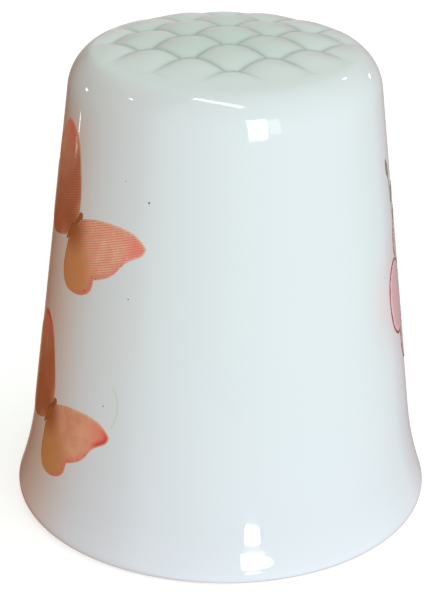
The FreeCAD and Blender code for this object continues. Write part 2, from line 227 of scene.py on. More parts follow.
def pillow_heights(points):
    """Over plan points: how high the balls on a diamond lattice reach, and 1 along each valley."""
    reach = math.ceil(2 * LATTICE_RADIUS / PILLOW_LENGTH) + 1
    share = (CROWN_RADIUS - BALL_RADIUS) / CROWN_RADIUS
    heights = []
    for column in range(-reach, reach + 1):
        for line in range(-reach, reach + 1):
            crest = (np.array(CROSSING) + ACROSS * column * PILLOW_WIDTH / 2
                     + AHEAD * line * PILLOW_LENGTH / 2)
            if (column + line) % 2 == 0 or np.hypot(*crest) > LATTICE_RADIUS + PILLOW_WIDTH / 2:
                continue
            crest_height = math.sqrt(CROWN_RADIUS ** 2 - crest @ crest)
            away = ((points - crest * share) ** 2).sum(axis=1)
            lift = np.sqrt(np.maximum(BALL_RADIUS ** 2 - away, BALL_EDGE))
            heights.append(HEIGHT - CROWN_RADIUS + crest_height * share + lift)
    heights = np.sort(np.array(heights), axis=0)
    top = heights[-1]
    soft = np.exp((heights - top) / VALLEY_SOFTNESS).sum(axis=0)
    return top + VALLEY_SOFTNESS * np.log(soft), np.exp((heights[-2] - top) / VALLEY_WIDTH)


def envelope_heights(radius):
    """Height of the shoulder's envelope over a distance from the axis."""
    upper = ENVELOPE[:, 1] > HEIGHT - 3 * SHOULDER_RADIUS
    return np.interp(radius, ENVELOPE[upper, 0], ENVELOPE[upper, 1])


def crown_heights(points):
    """Over plan points: the pillows' height under the shoulder's envelope, and 1 along a valley."""
    radius = np.hypot(points[:, 0], points[:, 1])
    envelope = envelope_heights(radius)
    dome = HEIGHT - CROWN_RADIUS + np.sqrt(CROWN_RADIUS ** 2 - radius ** 2)
    away = np.hypot(points[:, 0], points[:, 1] - LATTICE_MIDDLE)
    late = np.clip((away - LATTICE_FADE[0]) / (LATTICE_FADE[1] - LATTICE_FADE[0]), 0, 1)
    fade = 1 - late * late * (3 - 2 * late)
    raised, valley = pillow_heights(points)
    pillows = dome + (raised - dome) * fade
    share = np.clip(0.5 + 0.5 * (pillows - envelope) / SHOULDER_SOFTNESS, 0, 1)
    height = pillows + (envelope - pillows) * share - SHOULDER_SOFTNESS * share * (1 - share)
    return height, valley * fade


# ---------------------------------------------------------------- ceramic pieces

AROUND = 360
AROUND_INSIDE = 160
FIRST_RING = 0.1
CROWN_DEPTH = 3.0


def close_top(bm, around, height):
    """Joins the first ring of vertices to a point on the axis."""
    bm.verts.ensure_lookup_table()
    ring = bm.verts[:around]
    middle = bm.verts.new((0, 0, height))
    for index in range(around):
        bm.faces.new((ring[index], ring[(index + 1) % around], middle))


def make_outer_glaze():
    """The outer coat of glaze, with the pillows pressed into its crown."""
    bm = bmesh.new()
    # Each crown vertex keeps how near it lies to a valley, for the valley tint: partly pooled glaze,
    # partly painted shade.
    pooled_glaze_and_shade = bm.verts.layers.float.new("pooled_glaze_and_shade")
    add_rings(bm, outer_profile(CROWN_LIFT, FIRST_RING, OUTER_STEP), AROUND)
    close_top(bm, AROUND, HEIGHT + CROWN_LIFT)
    crown = [vert for vert in bm.verts
             if vert.co.z > HEIGHT - CROWN_DEPTH and math.hypot(*vert.co.xy) < LATTICE_RADIUS]
    points = np.array([vert.co[:2] for vert in crown])
    for vert, height, depth in zip(crown, *crown_heights(points)):
        vert.co.z = height
        vert[pooled_glaze_and_shade] = depth
    obj = new_object("outer_glaze_coat", bm)
    thicken(obj, GLAZE * GLAZE_SHARE)
    return obj


def make_inner_glaze():
    """The coat of glaze inside the finger space."""
    bm = bmesh.new()
    add_rings(bm, inner_profile(INNER_STEP)[1:], AROUND_INSIDE)
    close_top(bm, AROUND_INSIDE, FINGER_DEPTH)
    obj = new_object("inner_glaze_coat", bm)
    obj.data.flip_normals()
    thicken(obj, GLAZE * GLAZE_SHARE)
    return obj


# ---------------------------------------------------------------- enamel prints

# Spacing of the grid that lets a film follow the wall, the width of the narrow faces at its edge,
# the width over which it thins out, and how deep its edge and its back lie in the glaze.
GRID = 0.22
RIM = 0.05
NARROW_RIM = 0.04
SLOPE = 0.12
SUNK = 0.008
BURIED = 0.03

# How far each print stands out of the glaze.
WING_LIFT = ENAMEL * 0.75
BODY_LIFT = ENAMEL * 0.95
PETAL_LIFT = ENAMEL * 0.6
LINE_LIFT = ENAMEL * 0.9
CENTRE_LIFT = ENAMEL * 0.95
LEAF_LIFT = ENAMEL * 0.8
STEM_LIFT = ENAMEL * 0.7

POINT_SPACING = 0.08
GRID_SNAP = 1e-5
SHORTEST = 1e-12


class Place:
    """Where a flat drawing is laid on the wall: its azimuth, height and turn in degrees."""

    def __init__(self, azimuth, height, turn=0.0):
        self.azimuth = math.radians(azimuth)
        self.height = height
        self.turn = math.radians(turn)

    def on_wall(self, points, lift):
        """Points (x, y) of the drawing as points on the wall, lifted off its glaze."""
        x = points[:, 0] * math.cos(self.turn) - points[:, 1] * math.sin(self.turn)
        y = points[:, 0] * math.sin(self.turn) + points[:, 1] * math.cos(self.turn)
        cone = CONE_RADIUS - self.height * math.tan(TAPER)
        level = self.height + y
        radius = np.interp(level, WALL_HEIGHTS, WALL_RADII)
        azimuth = self.azimuth + np.arcsin(cone * np.sin(x / cone) / radius)
        reach = radius + lift
        return np.stack([reach * np.sin(azimuth), -reach * np.cos(azimuth), level], axis=1)


def smooth_line(points, step=POINT_SPACING):
    """Closely spaced points of a natural cubic spline through a few points (x, y)."""
    points = np.array(points, dtype=float)
    gaps = np.linalg.norm(np.diff(points, axis=0), axis=1)
    knots = np.concatenate([[0], np.cumsum(gaps)])
    size = len(points)
    system = np.eye(size)
    bends = np.zeros((size, 2))
    for row in range(1, size - 1):
        before, after = gaps[row - 1], gaps[row]
        system[row, row - 1:row + 2] = before, 2 * (before + after), after
        bends[row] = 6 * ((points[row + 1] - points[row]) / after
                          - (points[row] - points[row - 1]) / before)
    bends = np.linalg.solve(system, bends)
    found = []
    for row, gap in enumerate(gaps):
        count = max(1, math.ceil(gap / step))
        for part in range(count + (row == size - 2)):
            late = part / count
            early = 1 - late
            found.append(early * points[row] + late * points[row + 1] + gap ** 2 / 6 * (
                (early ** 3 - early) * bends[row] + (late ** 3 - late) * bends[row + 1]))
    return np.array(found)


def turned(points, angle, offset=(0.0, 0.0)):
    """Points turned by an angle in degrees and then moved."""
    cosine, sine = math.cos(math.radians(angle)), math.sin(math.radians(angle))
    return np.array([(x * cosine - y * sine + offset[0], x * sine + y * cosine + offset[1])
                     for x, y in points])


def edge_distance(points, outlines):
    """Distance of each point to the nearest of the closed outlines."""
    nearest = np.full(len(points), np.inf)
    for outline in outlines:
        starts = np.array(outline)
        spans = np.roll(starts, -1, axis=0) - starts
        lengths = np.maximum((spans ** 2).sum(axis=1), SHORTEST)
        gaps = points[:, None, :] - starts[None, :, :]
        share = np.clip((gaps * spans).sum(axis=2) / lengths, 0, 1)
        away = np.linalg.norm(gaps - share[:, :, None] * spans, axis=2)
        nearest = np.minimum(nearest, away.min(axis=1))
    return nearest


def cut_by_grid(bm, spacing):
    """Cuts flat faces along an even grid."""
    for axis in (0, 1):
        values = [vert.co[axis] for vert in bm.verts]
        for line in range(math.ceil(min(values) / spacing), math.floor(max(values) / spacing) + 1):
            normal = [0.0, 0.0, 0.0]
            normal[axis] = 1.0
            place = [component * line * spacing for component in normal]
            bmesh.ops.bisect_plane(bm, geom=bm.verts[:] + bm.edges[:] + bm.faces[:], dist=GRID_SNAP,
                                   plane_co=place, plane_no=normal)


def make_print(name, outlines, place, lift, rim=RIM):
    """A closed film of enamel on the wall, thinning out towards the edges of its outlines."""
    bm = bmesh.new()
    for outline in outlines:
        bm.faces.new([bm.verts.new((x, y, 0)) for x, y in outline])
    bmesh.ops.recalc_face_normals(bm, faces=bm.faces)
    bmesh.ops.inset_region(bm, faces=bm.faces[:], thickness=rim, use_even_offset=True,
                           use_boundary=True)
    bmesh.ops.triangulate(bm, faces=bm.faces[:])
    cut_by_grid(bm, GRID)
    flat = np.array([vert.co[:2] for vert in bm.verts])
    edge = edge_distance(flat, outlines)
    share = np.clip(edge / SLOPE, 0, 1)
    rise = -SUNK + (lift + SUNK) * share * share * (3 - 2 * share)
    upper = place.on_wall(flat, rise)
    lower = place.on_wall(flat, -BURIED)
    drawing = bm.verts.layers.float_vector.new("drawing")
    margin = bm.verts.layers.float.new("margin")
    tops = bm.verts[:]
    bottoms = [bm.verts.new(co) for co in lower]
    for index, vert in enumerate(tops):
        vert.co = upper[index]
    for index, (top, bottom) in enumerate(zip(tops, bottoms)):
        for vert in (top, bottom):
            vert[drawing] = (flat[index, 0], flat[index, 1], 0)
            vert[margin] = edge[index]
    below = dict(zip(tops, bottoms))
    borders = [(edge.verts[0], edge.verts[1]) for edge in bm.edges if edge.is_boundary]
    for face in bm.faces[:]:
        bm.faces.new([below[vert] for vert in reversed(face.verts)])
    for first, second in borders:
        bm.faces.new((first, second, below[second], below[first]))
    return new_object(name, bm)


# Where each butterfly stands, and whether its wings are striped.
BUTTERFLIES = {
    "upper_butterfly": (Place(-59.5, 16.7, -39), True),
    "lower_butterfly": (Place(-64.5, 6.3, -36), False),
}
# Butterfly, drawn with its head towards +Y. Each wing has a leading edge, an outer margin and the
# lobe behind it; the left wing, towards -X, is the broader one.
RIGHT_WING = [
    [(0.12, 1.0), (0.7, 1.85), (1.4, 2.58), (2.3, 3.25), (3.1, 3.55), (3.85, 3.5)],
    [(3.85, 3.5), (3.95, 3.1), (3.75, 2.5), (3.6, 1.9), (3.6, 1.3), (3.4, 0.5), (3.0, -0.25)],
    [(3.0, -0.25), (3.25, -0.8), (3.1, -1.45), (2.5, -2.2), (1.6, -2.6), (0.85, -2.2),
     (0.4, -1.45), (0.12, -0.9)],
]
LEFT_WING = [
    [(-0.12, 1.0), (-0.75, 1.8), (-1.5, 2.5), (-2.4, 3.17), (-3.2, 3.5), (-3.95, 3.45)],
    [(-3.95, 3.45), (-4.35, 3.2), (-4.65, 2.6), (-4.7, 1.9), (-4.85, 1.2), (-4.8, 0.3), (-4.35, -0.5)],
    [(-4.35, -0.5), (-4.5, -1.2), (-4.15, -2.1), (-3.4, -2.8), (-2.35, -3.05), (-1.35, -2.6),
     (-0.65, -1.75), (-0.12, -0.9)],
]
HALF_BODY = [(0.0, 1.3), (0.2, 1.12), (0.17, 0.85), (0.3, 0.4), (0.26, -0.2), (0.13, -0.8),
             (0.0, -1.05)]

# Blossom and spray, drawn around the blossom's centre.
SPRAY = Place(97.0, 12.1)
PETALS = 5
FIRST_PETAL = 180.0
LINE_WIDTH = 0.24
STEM_WIDTH = 0.2
CENTRE_RADIUS = 0.95
HALF_PETAL = [(0.75, -0.3), (2.0, -1.45), (3.3, -2.0), (4.2, -1.35), (4.5, 0.0)]
STEMS = [
    [(-1.0, 3.2), (-2.0, 3.7), (-2.5, 4.6), (-2.6, 5.6), (-2.9, 6.6)],
    [(1.2, 3.4), (2.2, 5.0), (2.7, 6.6), (2.5, 8.2)],
    [(1.4, -3.2), (2.5, -4.8), (2.8, -6.4), (2.3, -8.0)],
]
LEAF_FULLNESS = 0.87
# Each leaf: where it grows from, its direction in degrees, its length and its width.
LEAVES = [
    (-2.85, 6.4, 105, 1.3, 0.55),
    (-2.55, 4.9, 40, 1.5, 0.6),
    (2.3, 5.2, 20, 2.0, 0.85),
    (2.65, 6.4, 150, 1.8, 0.75),
    (2.5, 8.1, 95, 1.5, 0.7),
    (2.55, -4.9, -20, 2.1, 0.85),
    (2.8, -6.3, 215, 2.0, 0.8),
    (2.3, -7.9, 260, 1.5, 0.7),
]


def wing_outline(wing):
    """The closed outline of one wing."""
    edges = [smooth_line(points) for points in wing]
    return np.concatenate([edges[0], edges[1][1:], edges[2][1:]])


def body_outline():
    """The closed outline of the butterfly's body."""
    left_half = [(-x, y) for x, y in reversed(HALF_BODY[1:-1])]
    return smooth_line(HALF_BODY + left_half + HALF_BODY[:1])[:-1]


def petal_points():
    """The few points that a petal's smooth outline runs through."""
    return HALF_PETAL + [(x, -y) for x, y in reversed(HALF_PETAL[:-1])]


def ribbon(points, width):
    """The closed outline of a line of even width drawn along points."""
    line = smooth_line(points)
    along = np.gradient(line, axis=0)
    along /= np.linalg.norm(along, axis=1, keepdims=True)
    across = np.stack([-along[:, 1], along[:, 0]], axis=1)
    return np.concatenate([line + across * width / 2, (line - across * width / 2)[::-1]])


def leaf_outline(x, y, angle, length, width):
    """The closed outline of a pointed leaf."""
    share = np.linspace(0, 1, max(8, math.ceil(length / POINT_SPACING)))
    swell = np.sin(np.pi * share ** LEAF_FULLNESS) * width / 2
    above = np.stack([share * length, swell], axis=1)
    below = np.stack([share * length, -swell], axis=1)[::-1][1:-1]
    return turned(np.concatenate([above, below]), angle, (x, y))


def circle(radius, count=48):
    """The closed outline of a circle."""
    angles = np.linspace(0, 2 * math.pi, count, endpoint=False)
    return np.stack([radius * np.cos(angles), radius * np.sin(angles)], axis=1)


# ---------------------------------------------------------------- materials

def tone(red, green, blue):
    """A colour given as 0 to 255 on a screen, as a material's linear colour."""
    shares = [value / 255 for value in (red, green, blue)]
    return tuple(share / 12.92 if share <= 0.04045 else ((share + 0.055) / 1.055) ** 2.4
                 for share in shares) + (1.0,)


class Nodes:
    """Short ways to add the nodes of a material or of the world."""

    def __init__(self, tree):
        self.tree = tree

    def node(self, kind, settings=None, **inputs):
        """A new node with its inputs set or linked, by name or, as i0, i1 and so on, by index."""
        node = self.tree.nodes.new(kind)
        for key, value in (settings or {}).items():
            setattr(node, key, value)
        for key, value in inputs.items():
            by_index = key[0] == "i" and key[1:].isdigit()
            self.feed(node.inputs[int(key[1:]) if by_index else key], value)
        return node

    def feed(self, socket, value):
        """Links a socket to an output, or sets its constant."""
        if isinstance(value, bpy.types.NodeSocket):
            self.tree.links.new(value, socket)
        else:
            socket.default_value = value

    def math(self, operation, first, second=0.0, third=0.0):
        """The result of a math node."""
        node = self.node("ShaderNodeMath", {"operation": operation}, i0=first, i1=second, i2=third)
        return node.outputs[0]

    def product(self, first, second):
        """One share times another."""
        return self.math("MULTIPLY", first, second)

    def fade(self, value, start, end):
        """0 where a value is at the start and 1 at the end, smoothly."""
        node = self.node("ShaderNodeMapRange", {"interpolation_type": "SMOOTHSTEP"}, i0=value,
                         i1=start, i2=end, i3=0.0, i4=1.0)
        return node.outputs[0]

    def band(self, angle, rise, fall):
        """1 between a rise and a fall of an angle, each from its 0 end to its 1 end in degrees."""
        rising, falling = [self.fade(angle, math.radians(ends[0]), math.radians(ends[1]))
                           for ends in (rise, fall)]
        return self.product(rising, falling)

    def spot(self, vector, middle, reach, core=0.0):
        """1 within a core around a point, fading to 0 at a reach."""
        node = self.node("ShaderNodeVectorMath", {"operation": "DISTANCE"}, i0=vector, i1=middle)
        return self.fade(node.outputs["Value"], reach, core)

    def attribute(self, name):
        """A mesh attribute's node."""
        return self.node("ShaderNodeAttribute", {"attribute_name": name})

    def place(self):
        """The point on the object, in mm."""
        coordinate = self.node("ShaderNodeTexCoord")
        scale = self.node("ShaderNodeVectorMath", {"operation": "SCALE"},
                          i0=coordinate.outputs["Object"], Scale=1 / MM)
        return scale.outputs[0]

    def split(self, vector):
        """The x, y and z of a vector."""
        return self.node("ShaderNodeSeparateXYZ", i0=vector).outputs

    def azimuth(self, vector):
        """The angle of a vector around the axis, 0 at the front."""
        x, y, _ = self.split(vector)
        return self.math("ARCTAN2", x, self.product(y, -1.0))

    def noise(self, vector, scale, detail=2.0, rough=0.5):
        """Soft noise from 0 to 1, its scale in features per mm."""
        node = self.node("ShaderNodeTexNoise", Vector=vector, Scale=scale, Detail=detail,
                         Roughness=rough)
        return node.outputs[0]

    def mix(self, share, first, second):
        """A colour between two."""
        node = self.node("ShaderNodeMix", {"data_type": "RGBA"}, i0=share, i6=first, i7=second)
        return node.outputs[2]


class Paint(Nodes):
    """One material: a colour that is mixed layer by layer, a roughness and a bump."""

    def __init__(self, name, roughness, color):
        self.material = bpy.data.materials.new(name)
        self.material.use_nodes = True
        super().__init__(self.material.node_tree)
        self.shader = self.tree.nodes["Principled BSDF"]
        self.shader.inputs["Roughness"].default_value = roughness
        self.color = color

    def layer(self, color, share, strength=1.0):
        """Lays a colour over what is there, where a share says, no stronger than a strength."""
        if strength != 1.0:
            share = self.product(share, strength)
        self.color = self.mix(share, self.color, color)

    def bump(self, height, strength, distance=0.02):
        """Adds a bump, its height in mm."""
        node = self.node("ShaderNodeBump", Height=height, Strength=strength, Distance=distance * MM)
        self.feed(self.shader.inputs["Normal"], node.outputs[0])

    def done(self):
        """The material, with its colour sent to the shader."""
        self.feed(self.shader.inputs["Base Color"], self.color)
        return self.material


# Glaze.
WHITE = tone(236, 241, 241)
LOW_WHITE = tone(238, 240, 246)
CLOUD_WHITE = tone(240, 243, 238)
FOOT_WHITE = tone(246, 248, 252)
LINING_LOW = tone(240, 242, 242)
LINING_TOP = tone(232, 231, 226)
LINING_CLOUD = tone(238, 238, 232)
SAGE = tone(216, 228, 220)
# Valley tint: partly glaze pooled in the crown's creases, partly painted shade there.
VALLEY_POOL_AND_SHADE = tone(150, 168, 158)
# Painted warm light: a peach tint on the left side, for warm light bounced onto it from the left.
PAINTED_WARM_LIGHT = tone(240, 208, 188)
BLUSH = tone(242, 208, 210)
FILM = tone(206, 208, 158)
SPECK = tone(70, 64, 60)

# Where each tint of the glaze fades from none to full, by height or by distance from its middle.
LOW_FADE = (14.0, 0.0)
FOOT_FADE = (3.0, 0.3)
SAGE_FADE = (6.9, 2.2)
PAINTED_WARM_LIGHT_FADE = (23.2, 21.0)
BLUSH_FADE = (4.2, 1.2)

# The azimuths over which the painted warm light on the left side rises and falls.
PAINTED_WARM_LIGHT_RISE = (-42, -72)
PAINTED_WARM_LIGHT_FALL = (-135, -110)

# Slow waves of the glaze: features per mm, strength and height.
WAVE_SCALE = 0.35
WAVE_STRENGTH = 0.15
WAVE_HEIGHT = 0.06

# A thin edge of carrier film beside the lower butterfly: part of a ring around a point.
FILM_MIDDLE = (-43.2, 8.45)
FILM_EDGE = (-32.8, 8.5)
FILM_RADIUS = 1.8
FILM_LINE = (0.08, 0.02)
FILM_FADE = (1.5, 0.6)

# The blush beside the blossom: its azimuth and height.
BLUSH_PLACE = (76.0, 12.4)

# Kiln specks, each with its azimuth, its height and its radius.
SPECKS = [(-25.3, 19.3, 0.07), (-31.0, 14.3, 0.05), (-37.8, 8.4, 0.05), (65.4, 13.85, 0.05),
          (-34.7, 20.1, 0.035)]
SPECK_CORE = 0.4

# Biscuit.
BISCUIT = tone(226, 224, 216)
BISCUIT_GRAIN = tone(206, 201, 190)

# Wings, and where their parts lie in the drawing.
STRIPED_WING = (tone(255, 204, 172), tone(248, 180, 146))
PLAIN_WING = (tone(248, 180, 144), tone(236, 160, 124))
TIP_CORAL = tone(250, 134, 116)
LOBE_OCHRE = tone(222, 152, 98)
STRIPE_CORAL = tone(234, 116, 98)
TIP_RED = tone(232, 74, 68)
MARGIN_CORAL = tone(238, 118, 104)
DAB_RED = tone(178, 70, 66)
# Painted shade for the far wing, in rust.
FAR_WING_PAINTED_SHADE = tone(184, 88, 54)
ROOT_BROWN = tone(178, 100, 58)
LEADING_CREAM = tone(252, 222, 178)
BLEED_CREAM = tone(240, 220, 204)
WING_TIP = (3.9, 3.3, 0.0)
RED_TIP = (3.9, 2.8, 0.0)
WING_LOBE = (1.4, -1.7, 0.0)
WING_ROOT = (0.0, 0.1, 0.0)
STRIPE_PITCH = 0.122
STRIPE_NORMAL = (-0.852, 0.524, 0.0)

# Butterfly's body.
BODY_BROWNS = (tone(182, 110, 62), tone(168, 98, 56))
THORAX_BROWN = tone(156, 88, 52)
THORAX = (0.0, 0.7, 0.0)

# Blossom and spray.
PETAL_PINKS = (tone(238, 192, 194), tone(224, 164, 172))
PETAL_HEART = tone(196, 92, 112)
PETAL_VEIN = tone(178, 62, 84)
PETAL_RIM = tone(238, 206, 204)
VEINS_AROUND = 55.0
VEIN_WOBBLE = 7.0
OUTLINE_REDS = (tone(150, 40, 52), tone(186, 52, 62))
CENTRE_OCHRES = (tone(222, 176, 70), tone(196, 128, 44))
CENTRE_RIM = tone(150, 84, 40)
LEAF_GREENS = (tone(140, 140, 74), tone(116, 122, 62))
LEAF_RIM = tone(96, 92, 48)
STEM_BROWNS = (tone(128, 92, 62), tone(110, 104, 60))


def wall_point(azimuth, height):
    """A point on the finished wall at an azimuth in degrees and a height."""
    angle = math.radians(azimuth)
    radius = wall_radius(height)
    return radius * math.sin(angle), -radius * math.cos(angle), height


def glaze_paint():
    """Clear glaze on white china: cooler on the wall, sage where it pools on the crown, a darker tint
    along the crown's valleys that is partly pooled glaze and partly painted shade, and painted warm
    light over the left side.
    """
    paint = Paint("china_glaze", 0.04, WHITE)
    place = paint.place()
    height = paint.split(place)[2]
    paint.layer(LOW_WHITE, paint.fade(height, *LOW_FADE))
    paint.layer(CLOUD_WHITE, paint.noise(place, 0.22, 2.0), 0.5)
    paint.layer(SAGE, paint.spot(place, (0.0, LATTICE_MIDDLE, HEIGHT), *SAGE_FADE), 0.85)
    # Darker tint along the valleys: partly pooled glaze, partly painted shade in the creases.
    paint.layer(VALLEY_POOL_AND_SHADE, paint.attribute("pooled_glaze_and_shade").outputs["Fac"], 0.8)
    paint.layer(FOOT_WHITE, paint.fade(height, *FOOT_FADE), 0.6)
    # Painted warm light: a peach tint over the left side below the crown, for light bounced from the
    # left.
    warm_light = paint.band(paint.azimuth(place), PAINTED_WARM_LIGHT_RISE, PAINTED_WARM_LIGHT_FALL)
    warm_light = paint.product(warm_light, paint.fade(height, *PAINTED_WARM_LIGHT_FADE))
    paint.layer(PAINTED_WARM_LIGHT, warm_light, 0.75)
    paint.layer(BLUSH, paint.spot(place, wall_point(*BLUSH_PLACE), *BLUSH_FADE), 0.5)
    away = paint.node("ShaderNodeVectorMath", {"operation": "DISTANCE"}, i0=place,
                      i1=wall_point(*FILM_MIDDLE))
    ring = paint.math("ABSOLUTE", paint.math("SUBTRACT", away.outputs["Value"], FILM_RADIUS))
    near = paint.spot(place, wall_point(*FILM_EDGE), *FILM_FADE)
    paint.layer(FILM, paint.product(paint.fade(ring, *FILM_LINE), near), 0.3)
    for azimuth, level, radius in SPECKS:
        middle = wall_point(azimuth, level)
        paint.layer(SPECK, paint.spot(place, middle, radius, radius * SPECK_CORE))
    paint.bump(paint.noise(place, WAVE_SCALE, 1.0), WAVE_STRENGTH, WAVE_HEIGHT)
    return paint.done()


def lining_paint():
    """The same glaze inside the finger space, a little warmer towards its top."""
    paint = Paint("china_lining", 0.05, LINING_LOW)
    place = paint.place()
    paint.layer(LINING_TOP, paint.fade(paint.split(place)[2], 0.0, FINGER_DEPTH))
    paint.layer(LINING_CLOUD, paint.noise(place, 0.3, 2.0), 0.5)
    paint.bump(paint.noise(place, WAVE_SCALE, 1.0), WAVE_STRENGTH, WAVE_HEIGHT)
    return paint.done()


def biscuit_paint():
    """Unglazed china on the wiped foot: matt, with a fine grain."""
    paint = Paint("china_biscuit", 0.7, BISCUIT)
    grain = paint.noise(paint.place(), 9.0, 4.0, 0.6)
    paint.layer(BISCUIT_GRAIN, paint.fade(grain, 0.3, 0.75))
    paint.bump(grain, 0.35, 0.03)
    return paint.done()


def wing_stripes(paint, drawing, fine, lobe, x):
    """Share of the printed stripes: broken up, and gone on the lobe and the far wing."""
    across = paint.node("ShaderNodeVectorMath", {"operation": "DOT_PRODUCT"}, i0=drawing,
                        i1=STRIPE_NORMAL).outputs["Value"]
    wave = paint.math("SINE", paint.product(across, 2 * math.pi / STRIPE_PITCH))
    patch = paint.product(paint.fade(wave, -0.2, 0.7), paint.fade(fine, 0.28, 0.5))
    share = paint.product(patch, paint.fade(lobe, 1.3, 0.1))
    return paint.product(share, paint.fade(x, -3.6, -0.6))


def wing_paint(name, striped):
    """Watercolour wings: brown at the body, salmon beyond it, coral tips and ochre lobes, with painted
    shade in rust over the far wing.
    """
    light, deep = STRIPED_WING if striped else PLAIN_WING
    paint = Paint(name, 0.1, light)
    drawing = paint.attribute("drawing").outputs["Vector"]
    margin = paint.attribute("margin").outputs["Fac"]
    place = paint.place()
    x, y, _ = paint.split(drawing)
    side = paint.math("ABSOLUTE", x)
    half = paint.node("ShaderNodeCombineXYZ", i0=side, i1=y, i2=0.0).outputs[0]
    cloud = paint.noise(place, 1.1, 3.0, 0.6)
    fine = paint.noise(place, 6.0, 3.0, 0.6)

    paint.layer(deep, paint.fade(cloud, 0.3, 0.7))
    paint.layer(TIP_CORAL, paint.spot(half, WING_TIP, 1.9, 0.1), 0.85)
    lobe = paint.product(paint.spot(half, WING_LOBE, 2.9, 1.2), paint.fade(x, -0.6, 0.6))
    paint.layer(LOBE_OCHRE, lobe)
    if striped:
        paint.layer(STRIPE_CORAL, wing_stripes(paint, drawing, fine, lobe, x), 0.7)
    else:
        tip = paint.product(paint.spot(half, RED_TIP, 1.1, 0.3), paint.fade(margin, 0.5, 0.12))
        paint.layer(TIP_RED, tip)

    outer = paint.product(paint.fade(margin, 0.5, 0.05), paint.fade(y, 2.6, 1.2))
    outer = paint.product(outer, paint.fade(side, 2.3, 3.0))
    paint.layer(MARGIN_CORAL, outer, 0.6)
    dabs = paint.fade(paint.noise(place, 5.0, 2.0), 0.6, 0.68)
    paint.layer(DAB_RED, paint.product(dabs, outer), 0.7)
    # Painted shade: the far wing, which turns towards the dim left side, is darkened with rust.
    far = paint.product(paint.fade(x, 0.1, -0.9), paint.fade(x, -4.8, -1.8))
    paint.layer(FAR_WING_PAINTED_SHADE, far, 0.75)
    paint.layer(ROOT_BROWN, paint.spot(half, WING_ROOT, 1.7, 0.3), 0.9)
    leading = paint.product(paint.fade(margin, 0.17, 0.03), paint.fade(y, 1.6, 2.8))
    paint.layer(LEADING_CREAM, leading, 0.5)
    bleed = paint.product(paint.fade(margin, 0.1, 0.0), paint.fade(side, 0.4, 0.9))
    paint.layer(BLEED_CREAM, bleed, 0.6)
    return paint.done()


def body_paint(name):
    """Soft brown body, running out into the wings' colour at its edge."""
    paint = Paint(name, 0.12, BODY_BROWNS[0])
    drawing = paint.attribute("drawing").outputs["Vector"]
    margin = paint.attribute("margin").outputs["Fac"]
    paint.layer(BODY_BROWNS[1], paint.noise(paint.place(), 2.5, 3.0))
    paint.layer(THORAX_BROWN, paint.spot(drawing, THORAX, 0.5))
    paint.layer(ROOT_BROWN, paint.fade(margin, 0.2, 0.0))
    return paint.done()


def petal_paint():
    """Pink petals: pale at the margin, deeper towards the centre, with fine veins."""
    paint = Paint("petal_enamel_paint", 0.12, PETAL_PINKS[0])
    drawing = paint.attribute("drawing").outputs["Vector"]
    margin = paint.attribute("margin").outputs["Fac"]
    place = paint.place()
    x, y, _ = paint.split(drawing)
    around = paint.math("ARCTAN2", y, x)
    reach = paint.math("SQRT", paint.math("ADD", paint.product(x, x), paint.product(y, y)))

    paint.layer(PETAL_PINKS[1], paint.noise(place, 0.9, 3.0, 0.6))
    paint.layer(PETAL_HEART, paint.fade(reach, 2.9, 0.9))
    wobble = paint.product(paint.noise(place, 1.6, 2.0), VEIN_WOBBLE)
    veins = paint.math("SINE", paint.math("MULTIPLY_ADD", around, VEINS_AROUND, wobble))
    share = paint.product(paint.fade(veins, 0.55, 1.0), paint.fade(reach, 4.1, 1.4))
    paint.layer(PETAL_VEIN, share, 0.55)
    paint.layer(PETAL_RIM, paint.fade(margin, 0.45, 0.05), 0.6)
    return paint.done()


def plain_enamel(name, tones, scale=2.5, rim=None):
    """Enamel that wanders between two tones, with a darker rim where one is given."""
    paint = Paint(name, 0.12, tones[0])
    cloud = paint.noise(paint.place(), scale, 3.0, 0.6)
    paint.layer(tones[1], paint.fade(cloud, 0.3, 0.7))
    if rim:
        margin = paint.attribute("margin").outputs["Fac"]
        paint.layer(rim, paint.fade(margin, 0.16, 0.02))
    return paint.done()


# ---------------------------------------------------------------- pieces

def place_piece(piece, node, material):
    """Gives a piece its material and its body, and hides the CAD node it stands for."""
    piece.data.materials.append(material)
    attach(piece, BODY)
    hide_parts(node)


place_piece(make_outer_glaze(), "outer_glaze", glaze_paint())
place_piece(make_inner_glaze(), "inner_glaze", lining_paint())

body_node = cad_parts["china_body"]
body_node.data.materials.clear()
body_node.data.materials.append(biscuit_paint())

for name, (place, striped) in BUTTERFLIES.items():
    outlines = [wing_outline(RIGHT_WING), wing_outline(LEFT_WING)]
    wings = make_print(name + "_wing_film", outlines, place, WING_LIFT)
    place_piece(wings, name + "_wings", wing_paint(name + "_wing_paint", striped))
    body = make_print(name + "_body_film", [body_outline()], place, BODY_LIFT, NARROW_RIM)
    place_piece(body, name + "_body", body_paint(name + "_body_paint"))

petal_angles = [FIRST_PETAL + 360 / PETALS * index for index in range(PETALS)]
petal_line = smooth_line(petal_points())
petal_outlines = [turned(petal_line, angle) for angle in petal_angles]
petals = make_print("blossom_petal_film", petal_outlines, SPRAY, PETAL_LIFT)
place_piece(petals, "blossom_petals", petal_paint())

rim_lines = [turned(ribbon(petal_points(), LINE_WIDTH), angle) for angle in petal_angles]
outline = make_print("blossom_outline_film", rim_lines, SPRAY, LINE_LIFT, NARROW_RIM)
place_piece(outline, "blossom_outline",
            plain_enamel("outline_enamel_paint", OUTLINE_REDS))

centre = make_print("blossom_centre_film", [circle(CENTRE_RADIUS)], SPRAY, CENTRE_LIFT)
place_piece(centre, "blossom_centre",
            plain_enamel("centre_enamel_paint", CENTRE_OCHRES, 3.0, CENTRE_RIM))

